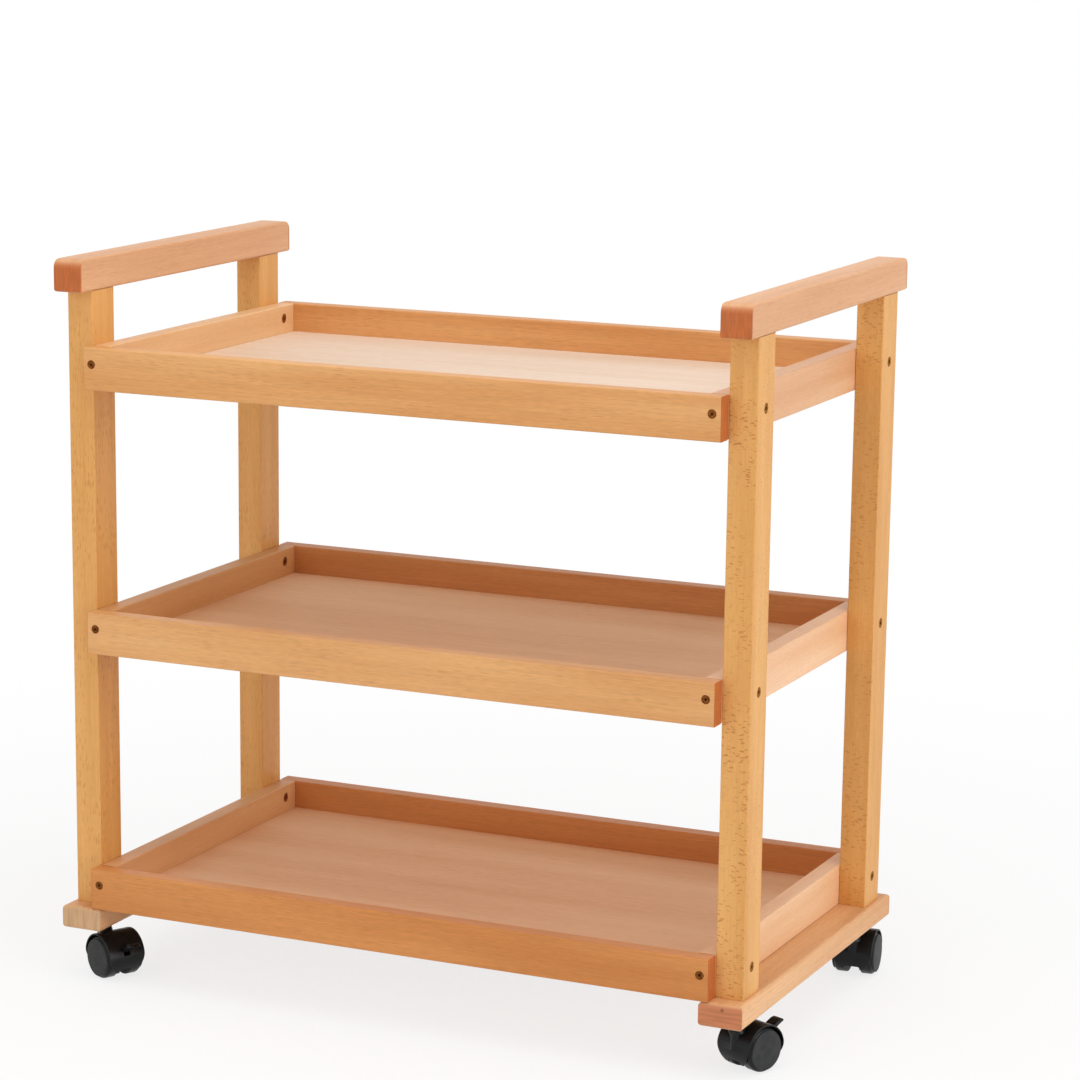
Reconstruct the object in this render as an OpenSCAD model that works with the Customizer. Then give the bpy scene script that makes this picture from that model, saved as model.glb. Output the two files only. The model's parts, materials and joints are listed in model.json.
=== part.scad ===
/* [Trays] */
// Length of each tray, which is also the distance between the left and right posts
tray_length = 640; // [400:5:900]
// Depth of each tray over its front and back rails
tray_depth = 400; // [300:5:600]
// Height of the tray rails
rail_height = 40; // [34:1:90]
// Thickness of the tray rails
rail_thickness = 17; // [14:0.5:30]
// Rounding of the boards' long edges
board_round = 1.2; // [0.5:0.1:2]
// Thickness of the tray panels
panel_thickness = 5; // [3:0.5:8]
// Height of the panels' underside above the rails' lower edge
panel_lift = 6.5; // [4:0.5:10]
// Depth of the grooves that hold the panels
groove_depth = 6; // [3:0.5:7]
// Play of a panel in its groove, on each side
groove_play = 0.1; // [0.05:0.05:0.3]
// Rise of a panel's field above its edge in the groove
panel_step = 0.6; // [0.3:0.1:1]
// Gap between a panel's field and the rails around it
field_gap = 0.2; // [0.1:0.05:0.5]
// Rise from one tray's underside to the next one's
tray_pitch = 253; // [150:1:320]

/* [Posts and handles] */
// Width of the posts, left to right
post_width = 27; // [22:1:45]
// Depth of the posts, front to back
post_depth = 39; // [26:1:60]
// How far the tray rails stand out beyond the posts' front and back faces
post_setback = 18; // [10:1:24]
// Length of the posts
post_length = 597; // [560:1:900]
// Height of the handle bars
handle_height = 31; // [26:1:45]
// How far the handles stand out beyond the posts' front and back faces
handle_end_lip = 22; // [10:1:40]
// How far the handles stand out beyond the posts to each side
handle_lip = 1; // [0:0.5:4]
// Rounding of the handles' upper ends
handle_end_round = 9; // [4:0.5:12]
// Rounding of the handles' other edges
handle_edge_round = 2.5; // [1:0.5:4]

/* [Foot rails] */
// Height of the foot rails
foot_height = 23; // [20:1:40]
// How far the foot rails stand out beyond the posts' front and back faces
foot_end_lip = 18; // [6:1:40]
// How far the foot rails reach in under the trays
foot_inner_lip = 9; // [6:1:20]
// How far the foot rails stand out beyond the posts' outer faces
foot_outer_lip = 6; // [0:1:15]
// Rounding of the foot rails' edges
foot_round = 4; // [1:0.5:6]

/* [Fasteners] */
// Diameter of the corner screws' heads
screw_head = 8.4; // [6:0.2:10]
// Diameter of the corner screws' shanks
screw_shank = 4; // [3:0.5:5]
// Length of the corner screws
screw_length = 30; // [24:1:34]
// Height of the corner screws above the rails' lower edge
screw_lift = 24.5; // [16:0.5:28]
// Length of the cross recess in the screws' heads
recess_length = 4.6; // [3:0.1:5]
// Width of the recess's arms
recess_width = 1.1; // [0.8:0.1:1.5]
// Depth of the recess
recess_depth = 1.7; // [1:0.1:2]
// Diameter of the post bolts
bolt_diameter = 6; // [4:0.5:6]
// Diameter of the post bolts' heads and of their nuts' heads
bolt_head = 9.5; // [9:0.5:11]
// Height of the bolt heads and nut heads
bolt_head_height = 2; // [1.5:0.5:3]
// Hexagon socket in the bolt heads, over its corners
bolt_socket = 4; // [3:0.1:5]
// Height of the post bolts above the rails' lower edge
bolt_lift = 27; // [22:0.5:28]
// Outer diameter of the sleeve nuts
nut_sleeve = 8; // [7.5:0.5:8.5]
// Length of the sleeve nuts
nut_length = 14; // [10:1:16]
// Play between a fastener and its hole
fastener_play = 0.1; // [0.05:0.05:0.2]
// Diameter of the handle dowels
dowel_diameter = 8; // [6:1:10]
// Length of the handle dowels
dowel_length = 40; // [24:2:44]
// Distance between the two dowels in a post's top
dowel_spacing = 20; // [13:1:22]
// Length of the foot rail screws
foot_screw_length = 60; // [40:1:80]
// Distance of the foot rail screws outwards from the middle of the posts
foot_screw_offset = 11.5; // [11:0.5:14]

/* [Casters] */
// Diameter of the caster wheels
wheel_diameter = 42; // [40:1:50]
// Rounding of the wheels' outer edges
wheel_edge = 2.4; // [1:0.1:4]
// Width and depth of the ring groove in the wheels' outer faces
ring_groove = 0.8; // [0.4:0.1:1.2]
// Distance of the ring groove from the wheels' rounded edges
ring_inset = 0.8; // [0.2:0.1:2]
// Thickness of a wheel's outer wall over the axle's end
wheel_cap = 3.2; // [2:0.1:5]
// Width of a caster over both wheels
caster_width = 43; // [38:1:50]
// Thickness of the web between the two wheels
web_thickness = 12.4; // [11.6:0.2:14]
// Diameter of the web's hub round the axle
hub_diameter = 12; // [9:0.5:16]
// Gap between a wheel and the web beside it
wheel_side_gap = 0.8; // [0.4:0.1:1.2]
// Gap between a wheel's tread and the hood over it
hood_gap = 1.2; // [0.6:0.1:2]
// Wall of the hood
hood_wall = 1.6; // [1.4:0.1:4]
// How far the wheels stand out beyond the hood to each side
wheel_reveal = 1.5; // [0.5:0.1:3]
// Angle below the axle to which the hood reaches
hood_drop = 34; // [20:1:45]
// Width of the arch in the hood's lower edge, between the wheels
arch_width = 15; // [12:0.5:20]
// Height of that arch above the floor
arch_height = 11.5; // [8:0.5:14]
// Distance from the swivel axis to the axle
caster_trail = 18; // [14:1:20]
// How far the hood's collar stands above the cover over the wheels
collar_rise = 5.2; // [0:0.1:10]
// Gap between the hood's collar and the stem's flange
swivel_gap = 0.3; // [0.2:0.1:0.5]
// Height of the stem's flange
flange_height = 2.7; // [2:0.1:4]
// Diameter of the stem's flange
flange_diameter = 12.5; // [11:0.5:16]
// Diameter of the stem
stem_diameter = 8; // [6:0.5:8.5]
// Depth to which the stem turns in the hood
stem_socket = 20; // [14:1:22]
// Height of the stem's thread in the foot rail
stem_thread = 15; // [10:1:17]
// Outer diameter of the threaded inserts
insert_diameter = 12; // [11:0.5:14]
// Diameter of the axle
axle_diameter = 6; // [5:0.5:8]
// Gap between the axle's ends and the wheels' outer walls
axle_end_gap = 0.3; // [0.1:0.05:0.6]
// Running clearance of shafts in their holes, in radius
running_play = 0.05; // [0.02:0.01:0.1]
// Distance of the stems inwards from the posts' front and back faces
stem_inset = 26; // [24:1:40]
// Direction in which the front left caster trails
front_left_turn = -28; // [-180:1:180]
// Direction in which the front right caster trails, and opposite to it the back left one
front_right_turn = 67; // [-180:1:180]
// Direction in which the back right caster trails
back_right_turn = 96; // [-180:1:180]

/* [Brakes] */
// Width of the brake lever's arm
lever_arm = 6; // [4:0.5:7]
// Width of the brake lever's pedal
pedal_width = 12.5; // [10:0.5:20]
// Length of the pedal
pedal_length = 16; // [6:0.5:18]
// Thickness of the brake lever
lever_thickness = 4.5; // [3:0.5:5]
// Gap between the hood and the pedal
pedal_gap = 1.8; // [1:0.1:3]
// Gap around the lever in the hood's slot
lever_gap = 0.6; // [0.4:0.1:1]
// Angle of the lever above the axle's level
lever_angle = 25; // [15:1:40]
// Downward travel of the lever
lever_travel = 18; // [8:1:22]
// Distance of the lever's pivot from the axle
lever_radius = 14; // [12:0.5:16]
// Diameter of the lever's pivot pin
lever_pin = 3; // [2:0.5:3]

/* [Hidden] */
$fn = 64;
TRAYS = ["bottom", "middle", "top"];
LEVELS = [0, 1, 2];
SIDES = [-1, 1];
// How far a cut runs past the face that it opens
cut_over = 1;

wheel_radius = wheel_diameter / 2;
hood_inner = wheel_radius + hood_gap;
hood_outer = hood_inner + hood_wall;
collar_top = wheel_radius + hood_outer + collar_rise;
caster_height = collar_top + swivel_gap + flange_height;

foot_top = caster_height + foot_height;
foot_width = foot_inner_lip + post_width + foot_outer_lip;
post_top = foot_top + post_length;
post_inner_x = tray_length / 2;
post_x = post_inner_x + post_width / 2;
post_front_y = tray_depth / 2 - post_setback;
post_y = post_front_y - post_depth / 2;
foot_x = post_inner_x - foot_inner_lip + foot_width / 2;
foot_length = 2 * (post_front_y + foot_end_lip);
handle_length = 2 * (post_front_y + handle_end_lip);
stem_y = post_front_y - stem_inset;
side_rail_length = tray_depth - 2 * rail_thickness;
rail_x = post_inner_x - rail_thickness / 2;
rail_y = tray_depth / 2 - rail_thickness / 2;

function tray_z(level) = foot_top + level * tray_pitch;
function caster_turn(side, end) =
    end < 0 ? (side < 0 ? front_left_turn : front_right_turn)
            : (side < 0 ? front_right_turn + 180 : back_right_turn);

// Flat outline: a rectangle centred on the origin with four rounded corners
module rounded_rectangle(width, height, radius) {
    square([width, height - 2 * radius], center = true);
    square([width - 2 * radius, height], center = true);
    for (sx = SIDES, sy = SIDES)
        translate([sx * (width / 2 - radius), sy * (height / 2 - radius)])
            circle(r = radius);
}

// Board that lies along X, with its rounded section in the YZ plane
module board_x(length, thickness, height, radius) {
    rotate([90, 0, 90])
        linear_extrude(height = length, center = true)
            rounded_rectangle(thickness, height, radius);
}

// Board that lies along Y, with its rounded section in the XZ plane
module board_y(length, thickness, height, radius) {
    rotate([90, 0, 0])
        linear_extrude(height = length, center = true)
            rounded_rectangle(thickness, height, radius);
}

// Hole for a countersunk screw, or the screw's own body with play = 0, head up at the origin
module countersunk_body(head, shank, length, play) {
    translate([0, 0, -length - play])
        cylinder(d = shank + 2 * play, h = length + play);
    translate([0, 0, -(head - shank) / 2 - play])
        cylinder(d1 = shank + 2 * play, d2 = head + 2 * play, h = (head - shank) / 2 + play);
}

// Countersunk screw with a cross recess, head up at the origin
module countersunk_screw(head, shank, length) {
    difference() {
        countersunk_body(head, shank, length, 0);
        for (turn = [0, 90])
            rotate([0, 0, turn])
                translate([-recess_length / 2, -recess_width / 2, -recess_depth])
                    cube([recess_length, recess_width, recess_depth + cut_over]);
    }
}

// Places its child at every corner screw's head: side is left or right, end is front or back
module at_corner_screw(side, end, level) {
    translate([side * rail_x, end * tray_depth / 2, tray_z(level) + screw_lift])
        rotate([-90 * end, 0, 0])
            children();
}

// Places its child at a post bolt's head on the post's outer face, with the shank towards -Z
module at_post_bolt(side, end, level) {
    translate([side * (post_inner_x + post_width), end * post_y, tray_z(level) + bolt_lift])
        rotate([0, 90 * side, 0])
            children();
}

// Places its child at the lower end of both dowels in a post's top
module at_dowels(side, end) {
    for (step = SIDES)
        translate([side * post_x, end * post_y + step * dowel_spacing / 2, post_top - dowel_length / 2])
            children();
}

// Places its child at a foot rail screw's head under the rail, with the shank upwards
module at_foot_screw(side, end) {
    translate([side * post_x, end * (post_y + foot_screw_offset), caster_height])
        mirror([0, 0, 1])
            children();
}

// Hole for a dowel, in the post and in the handle alike
module dowel_hole() {
    translate([0, 0, -fastener_play])
        cylinder(d = dowel_diameter + 2 * fastener_play, h = dowel_length + 2 * fastener_play);
}

// Bolt and nut hole through a post and the side rail behind it
module post_bolt_hole() {
    grip = post_width + rail_thickness;
    translate([0, 0, -grip - cut_over])
        cylinder(d = bolt_diameter + 2 * fastener_play, h = grip + 2 * cut_over);
    translate([0, 0, -bolt_head_height - fastener_play])
        cylinder(d = bolt_head + 2 * fastener_play, h = bolt_head_height + fastener_play + cut_over);
    translate([0, 0, -grip - cut_over])
        cylinder(d = nut_sleeve + 2 * fastener_play, h = nut_length + fastener_play + cut_over);
    translate([0, 0, -grip - cut_over])
        cylinder(d = bolt_head + 2 * fastener_play, h = bolt_head_height + fastener_play + cut_over);
}

module post(side, end) {
    color("#dda05a")
    difference() {
        translate([side * post_x, end * post_y, foot_top])
            linear_extrude(height = post_length)
                rounded_rectangle(post_width, post_depth, board_round);
        for (level = LEVELS)
            at_post_bolt(side, end, level)
                post_bolt_hole();
        at_dowels(side, end)
            dowel_hole();
        at_foot_screw(side, end)
            countersunk_body(screw_head, screw_shank, foot_screw_length, fastener_play);
    }
}

// Bar with round upper ends, its long edges rounded too
module handle(side) {
    width = post_width + 2 * handle_lip;
    color("#e2a574")
    difference() {
        translate([side * post_x, 0, post_top + handle_height / 2])
            intersection() {
                board_y(handle_length, width, handle_height, handle_edge_round);
                rotate([90, 0, 90])
                    linear_extrude(height = width, center = true)
                        handle_side_outline();
            }
        for (end = SIDES)
            at_dowels(side, end)
                dowel_hole();
    }
}

// Side view of a handle: large rounding above, small rounding below
module handle_side_outline() {
    end_y = handle_length / 2;
    top_z = handle_height / 2;
    square([handle_length - 2 * handle_end_round, handle_height], center = true);
    translate([-end_y, handle_edge_round - top_z])
        square([handle_length, handle_height - handle_end_round - handle_edge_round]);
    translate([handle_edge_round - end_y, -top_z])
        square([handle_length - 2 * handle_edge_round, handle_height - handle_end_round]);
    for (end = SIDES) {
        translate([end * (end_y - handle_end_round), top_z - handle_end_round])
            circle(r = handle_end_round);
        translate([end * (end_y - handle_edge_round), handle_edge_round - top_z])
            circle(r = handle_edge_round);
    }
}

module foot_rail(side) {
    color("#c9925e")
    difference() {
        translate([side * foot_x, 0, caster_height + foot_height / 2])
            intersection() {
                board_y(foot_length, foot_width, foot_height, foot_round);
                board_x(foot_width, foot_length, foot_height, foot_round);
            }
        for (end = SIDES) {
            at_foot_screw(side, end)
                countersunk_body(screw_head, screw_shank, foot_screw_length, fastener_play);
            translate([side * foot_x, end * stem_y, caster_height - cut_over])
                cylinder(d = insert_diameter + 2 * fastener_play,
                         h = stem_thread + fastener_play + cut_over);
        }
    }
}

// Front or back rail of a tray, with the panel's groove and the corner screws' holes
module long_rail(end, level) {
    groove_height = panel_thickness - panel_step + 2 * groove_play;
    color("#d2985a")
    difference() {
        translate([0, end * rail_y, tray_z(level) + rail_height / 2])
            board_x(tray_length, rail_thickness, rail_height, board_round);
        translate([0, end * (tray_depth / 2 - rail_thickness), tray_z(level) + panel_lift - groove_play])
            translate([-tray_length / 2 + rail_thickness - groove_depth, -groove_depth, 0])
                cube([tray_length - 2 * rail_thickness + 2 * groove_depth, 2 * groove_depth, groove_height]);
        for (side = SIDES)
            at_corner_screw(side, end, level)
                countersunk_body(screw_head, screw_shank, screw_length, fastener_play);
    }
}

// Left or right rail of a tray, between the front and back rails
module side_rail(side, level) {
    groove_height = panel_thickness - panel_step + 2 * groove_play;
    color("#c8743a")
    difference() {
        translate([side * rail_x, 0, tray_z(level) + rail_height / 2])
            board_y(side_rail_length, rail_thickness, rail_height, board_round);
        translate([side * (post_inner_x - rail_thickness), 0, tray_z(level) + panel_lift - groove_play])
            translate([-groove_depth, -side_rail_length / 2 - cut_over, 0])
                cube([2 * groove_depth, side_rail_length + 2 * cut_over, groove_height]);
        for (end = SIDES) {
            at_corner_screw(side, end, level)
                countersunk_body(screw_head, screw_shank, screw_length, fastener_play);
            at_post_bolt(side, end, level)
                post_bolt_hole();
        }
    }
}

// Panel with its thinned edges in the rails' grooves and its field level between the rails
module tray_panel(level) {
    clear_length = tray_length - 2 * rail_thickness;
    reach = groove_depth - groove_play;
    edge_thickness = panel_thickness - panel_step;
    color("#dba98a")
    translate([0, 0, tray_z(level) + panel_lift]) {
        translate([0, 0, edge_thickness / 2])
            cube([clear_length + 2 * reach, side_rail_length + 2 * reach, edge_thickness], center = true);
        translate([0, 0, panel_thickness / 2])
            cube([clear_length - 2 * field_gap, side_rail_length - 2 * field_gap, panel_thickness],
                 center = true);
    }
}

module tray_corner_screws() {
    color("#4a3826")
    for (level = LEVELS, side = SIDES, end = SIDES)
        at_corner_screw(side, end, level)
            countersunk_screw(screw_head, screw_shank, screw_length);
}

// Connector bolts with a flat round head, flush with the posts' outer faces
module post_bolts() {
    bolt_length = post_width + rail_thickness - 2 * bolt_head_height;
    color("#4a3826")
    for (level = LEVELS, side = SIDES, end = SIDES)
        at_post_bolt(side, end, level)
            difference() {
                union() {
                    translate([0, 0, -bolt_head_height])
                        cylinder(d = bolt_head, h = bolt_head_height);
                    translate([0, 0, -bolt_length])
                        cylinder(d = bolt_diameter, h = bolt_length - bolt_head_height / 2);
                }
                translate([0, 0, -bolt_head_height])
                    cylinder(d = bolt_socket, h = bolt_head_height + cut_over, $fn = 6);
            }
}

// Sleeve nuts with a flat round head, flush with the side rails' inner faces
module post_bolt_nuts() {
    grip = post_width + rail_thickness;
    bolt_length = grip - 2 * bolt_head_height;
    color("#5a4632")
    for (level = LEVELS, side = SIDES, end = SIDES)
        at_post_bolt(side, end, level)
            translate([0, 0, -grip])
                difference() {
                    union() {
                        cylinder(d = bolt_head, h = bolt_head_height);
                        cylinder(d = nut_sleeve, h = nut_length);
                    }
                    translate([0, 0, grip - bolt_length - fastener_play])
                        cylinder(d = bolt_diameter + 2 * fastener_play, h = nut_length);
                }
}

module handle_dowels() {
    color("#d8b07c")
    for (side = SIDES, end = SIDES)
        at_dowels(side, end)
            cylinder(d = dowel_diameter, h = dowel_length);
}

module foot_rail_screws() {
    color("#4a3826")
    for (side = SIDES, end = SIDES)
        at_foot_screw(side, end)
            countersunk_screw(screw_head, screw_shank, foot_screw_length);
}

module caster_inserts() {
    color("#8a8d90")
    for (side = SIDES, end = SIDES)
        translate([side * foot_x, end * stem_y, caster_height])
            difference() {
                cylinder(d = insert_diameter, h = stem_thread);
                translate([0, 0, -cut_over])
                    cylinder(d = stem_diameter + 2 * fastener_play, h = stem_thread + 2 * cut_over);
            }
}

// Places its child in a caster's own frame: origin under the stem on the floor, trailing along +X
module at_caster(side, end) {
    translate([side * foot_x, end * stem_y, 0])
        rotate([0, 0, caster_turn(side, end)])
            children();
}

// Cylinder across the caster, centred on the plane between its wheels
module across(radius, length) {
    rotate([90, 0, 0])
        cylinder(r = radius, h = length, center = true);
}

// Steel stem: thread in the foot rail, flange under it and the pin on which the hood turns
module caster_stem(side, end) {
    color("#5b5d60")
    translate([side * foot_x, end * stem_y, 0]) {
        translate([0, 0, caster_height - flange_height])
            cylinder(d = flange_diameter, h = flange_height);
        translate([0, 0, collar_top - stem_socket])
            cylinder(d = stem_diameter, h = stem_socket + swivel_gap + flange_height + stem_thread);
    }
}

// Place of the axle in the caster's frame
module at_axle() {
    translate([caster_trail, 0, wheel_radius])
        children();
}

// Wedge across the caster: all that lies between two angles around the axle
module hood_sector(length) {
    reach = 2 * hood_outer;
    rise = reach * tan(hood_drop);
    rotate([90, 0, 0])
        linear_extrude(height = length, center = true)
            polygon([[0, 0], [reach, -rise], [reach, reach], [-reach, reach], [-reach, -rise]]);
}

// Hood over both wheels, with the web between them and the collar round the stem
module caster_hood(side, end, braked) {
    hood_width = caster_width - 2 * wheel_reveal;
    collar = flange_diameter + 2 * running_play;
    color("#2a2b2c")
    at_caster(side, end)
        difference() {
            union() {
                at_axle()
                    intersection() {
                        difference() {
                            across(hood_outer, hood_width);
                            across(hood_inner, hood_width + cut_over);
                        }
                        hood_sector(hood_width + cut_over);
                    }
                at_axle()
                    intersection() {
                        across(hood_inner + hood_wall / 2, web_thickness);
                        hood_sector(web_thickness + cut_over);
                    }
                at_axle()
                    across(hub_diameter / 2, web_thickness);
                caster_collar(collar);
            }
            translate([0, 0, collar_top - stem_socket - swivel_gap])
                cylinder(d = stem_diameter + 2 * running_play, h = stem_socket + swivel_gap + cut_over);
            at_axle()
                across(axle_diameter / 2 + running_play, caster_width);
            translate([caster_trail, 0, arch_height / 2])
                cube([4 * hood_outer, arch_width, arch_height], center = true);
            if (braked)
                at_axle()
                    lever_slot();
        }
}

// Upright collar round the stem, cut back so that it clears the wheels
module caster_collar(diameter) {
    shoulder = wheel_radius;
    intersection() {
        translate([0, 0, shoulder])
            cylinder(d = diameter, h = collar_top - shoulder);
        union() {
            at_axle()
                difference() {
                    translate([-2 * hood_outer, -diameter, 0])
                        cube([4 * hood_outer, 2 * diameter, 2 * hood_outer]);
                    across(hood_inner, 3 * diameter);
                }
            translate([-diameter, -web_thickness / 2, 0])
                cube([2 * diameter, web_thickness, collar_top]);
        }
    }
}

// Axle pressed through the web, one wheel on each end
module caster_axle(side, end) {
    color("#8a8d90")
    at_caster(side, end)
        at_axle()
            across(axle_diameter / 2, caster_width - 2 * (wheel_cap + axle_end_gap));
}

// Half section of one wheel from its bore outwards: X is the radius, Y the distance from the inner face
module wheel_outline(width) {
    face_radius = wheel_radius - wheel_edge;
    difference() {
        union() {
            square([face_radius, width]);
            square([wheel_radius, width - wheel_edge]);
            translate([face_radius, width - wheel_edge])
                circle(r = wheel_edge);
        }
        translate([0, -cut_over])
            square([axle_diameter / 2 + running_play, width - wheel_cap + cut_over]);
        translate([face_radius - ring_inset - ring_groove, width - ring_groove])
            square([ring_groove, ring_groove + cut_over]);
    }
}

// Wheel a lies on the caster's left as it trails, wheel b on its right
module caster_wheel(side, end, hand) {
    inner = web_thickness / 2 + wheel_side_gap;
    color("#434344")
    at_caster(side, end)
        at_axle()
            rotate([-90 * hand, 0, 0])
                translate([0, 0, inner])
                    rotate_extrude()
                        wheel_outline(caster_width / 2 - inner);
}

// Place of the lever's pivot in the axle's frame
module at_lever_pivot() {
    rotate([0, -lever_angle, 0])
        translate([lever_radius, 0, 0])
            children();
}

// Room in the hood for the lever over its whole travel
module lever_slot() {
    width = lever_arm + 2 * lever_gap;
    reach = hood_outer;
    at_lever_pivot() {
        for (turn = [0 : lever_travel / 2 : lever_travel])
            rotate([0, turn, 0])
                translate([-lever_thickness / 2 - lever_gap, -width / 2, -lever_thickness / 2 - lever_gap])
                    cube([reach, width, lever_thickness + 2 * lever_gap]);
        across(lever_thickness / 2 + lever_gap, width);
        across(lever_pin / 2, web_thickness + cut_over);
    }
}

// Brake lever: an arm on a pin in the web, with a pedal outside the hood
module brake_lever(side, end) {
    arm_length = hood_outer - lever_radius + pedal_gap;
    color("#232425")
    at_caster(side, end)
        at_axle()
            at_lever_pivot()
                difference() {
                    union() {
                        across(lever_thickness / 2, lever_arm);
                        translate([0, -lever_arm / 2, -lever_thickness / 2])
                            cube([arm_length + pedal_length, lever_arm, lever_thickness]);
                        translate([arm_length, -pedal_width / 2, -lever_thickness / 2])
                            cube([pedal_length, pedal_width, lever_thickness]);
                    }
                    across(lever_pin / 2 + running_play, pedal_width);
                }
}

module brake_pin(side, end) {
    color("#8a8d90")
    at_caster(side, end)
        at_axle()
            at_lever_pivot()
                across(lever_pin / 2, web_thickness);
}

post(-1, -1);  // front_left_post
post(1, -1);  // front_right_post
post(-1, 1);  // back_left_post
post(1, 1);  // back_right_post
handle(-1);  // left_handle
handle(1);  // right_handle
foot_rail(-1);  // left_foot_rail
foot_rail(1);  // right_foot_rail
for (level = LEVELS) {
    long_rail(-1, level);
    long_rail(1, level);
    side_rail(-1, level);
    side_rail(1, level);
    tray_panel(level);
}
tray_corner_screws();
post_bolts();
post_bolt_nuts();
handle_dowels();
foot_rail_screws();
caster_inserts();
for (side = SIDES, end = SIDES) {
    place = str(end < 0 ? "front" : "back", side < 0 ? "_left" : "_right");
    caster_stem(side, end);
    caster_hood(side, end, end < 0);
    caster_axle(side, end);
    caster_wheel(side, end, 1);
    caster_wheel(side, end, -1);
    if (end < 0) {
        brake_lever(side, end);
        brake_pin(side, end);
    }
}
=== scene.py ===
import json
import math

import bmesh
import bpy
from mathutils import Matrix, Vector


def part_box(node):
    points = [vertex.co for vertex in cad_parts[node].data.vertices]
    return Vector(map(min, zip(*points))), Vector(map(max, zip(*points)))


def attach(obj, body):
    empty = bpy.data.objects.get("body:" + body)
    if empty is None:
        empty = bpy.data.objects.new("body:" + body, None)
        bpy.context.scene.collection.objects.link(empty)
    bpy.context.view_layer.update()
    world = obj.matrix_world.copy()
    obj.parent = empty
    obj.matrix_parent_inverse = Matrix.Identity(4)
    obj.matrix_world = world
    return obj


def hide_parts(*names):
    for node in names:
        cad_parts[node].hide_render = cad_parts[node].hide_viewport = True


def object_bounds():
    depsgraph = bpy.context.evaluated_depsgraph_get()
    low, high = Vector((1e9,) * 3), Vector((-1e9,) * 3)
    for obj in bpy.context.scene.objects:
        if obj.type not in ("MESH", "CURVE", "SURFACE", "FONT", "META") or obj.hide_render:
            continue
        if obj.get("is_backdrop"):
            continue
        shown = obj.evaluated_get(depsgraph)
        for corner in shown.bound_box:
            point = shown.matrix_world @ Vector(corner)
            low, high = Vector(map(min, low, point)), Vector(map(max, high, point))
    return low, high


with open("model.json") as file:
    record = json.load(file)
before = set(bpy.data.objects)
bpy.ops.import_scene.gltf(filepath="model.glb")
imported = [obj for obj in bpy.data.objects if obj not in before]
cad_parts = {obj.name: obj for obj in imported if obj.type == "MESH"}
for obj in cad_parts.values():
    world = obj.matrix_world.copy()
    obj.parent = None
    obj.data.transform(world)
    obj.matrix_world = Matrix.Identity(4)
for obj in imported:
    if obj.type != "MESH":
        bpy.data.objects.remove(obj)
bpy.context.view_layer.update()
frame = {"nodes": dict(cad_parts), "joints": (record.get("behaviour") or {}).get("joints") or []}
nodes = frame["nodes"]


# Foot rails: two wide rails of solid beech that lie front to back on the casters.
# They are planed, their edges eased, and clear lacquered; the posts are screwed down to them from below.
MM = 0.001
# The small knot in the right rail's front end: its two radii and its place, in mm.
KNOT_CORE, KNOT_RIM = 0.4, 2.2
KNOT_ASIDE, KNOT_DOWN = 2, 5
# Boards from different logs read the wood's figure one step apart, in metres.
LOG_STEP = (0, 0.13, 0.29)
# How far the grain waves, in mm, and where a ray's edge starts, ends and varies, in shares of its cell.
GRAIN_WAVE = 6
RAY_EDGE, RAY_SOFT, RAY_SPREAD = 0.02, 0.16, 0.32


def linear(code):
    """Linear RGBA of an sRGB hex colour."""
    channels = [int(code[start:start + 2], 16) / 255 for start in (1, 3, 5)]
    return (*[c / 12.92 if c <= 0.04045 else ((c + 0.055) / 1.055) ** 2.4 for c in channels], 1)


def add(tree, kind, inputs=None, **settings):
    """Adds a node to a tree: settings are its properties, inputs its sockets' values or their links."""
    made = tree.nodes.new(kind)
    for name, value in settings.items():
        setattr(made, name, value)
    for name, value in (inputs or {}).items():
        if isinstance(value, bpy.types.NodeSocket):
            tree.links.new(value, made.inputs[name])
        else:
            made.inputs[name].default_value = value
    return made


def blank_material(name):
    """A new material, with its tree, its shader and the place on the object that its patterns read."""
    material = bpy.data.materials.new(name)
    material.use_nodes = True
    tree = material.node_tree
    place = add(tree, "ShaderNodeTexCoord").outputs["Object"]
    return material, tree, tree.nodes["Principled BSDF"], place


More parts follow.
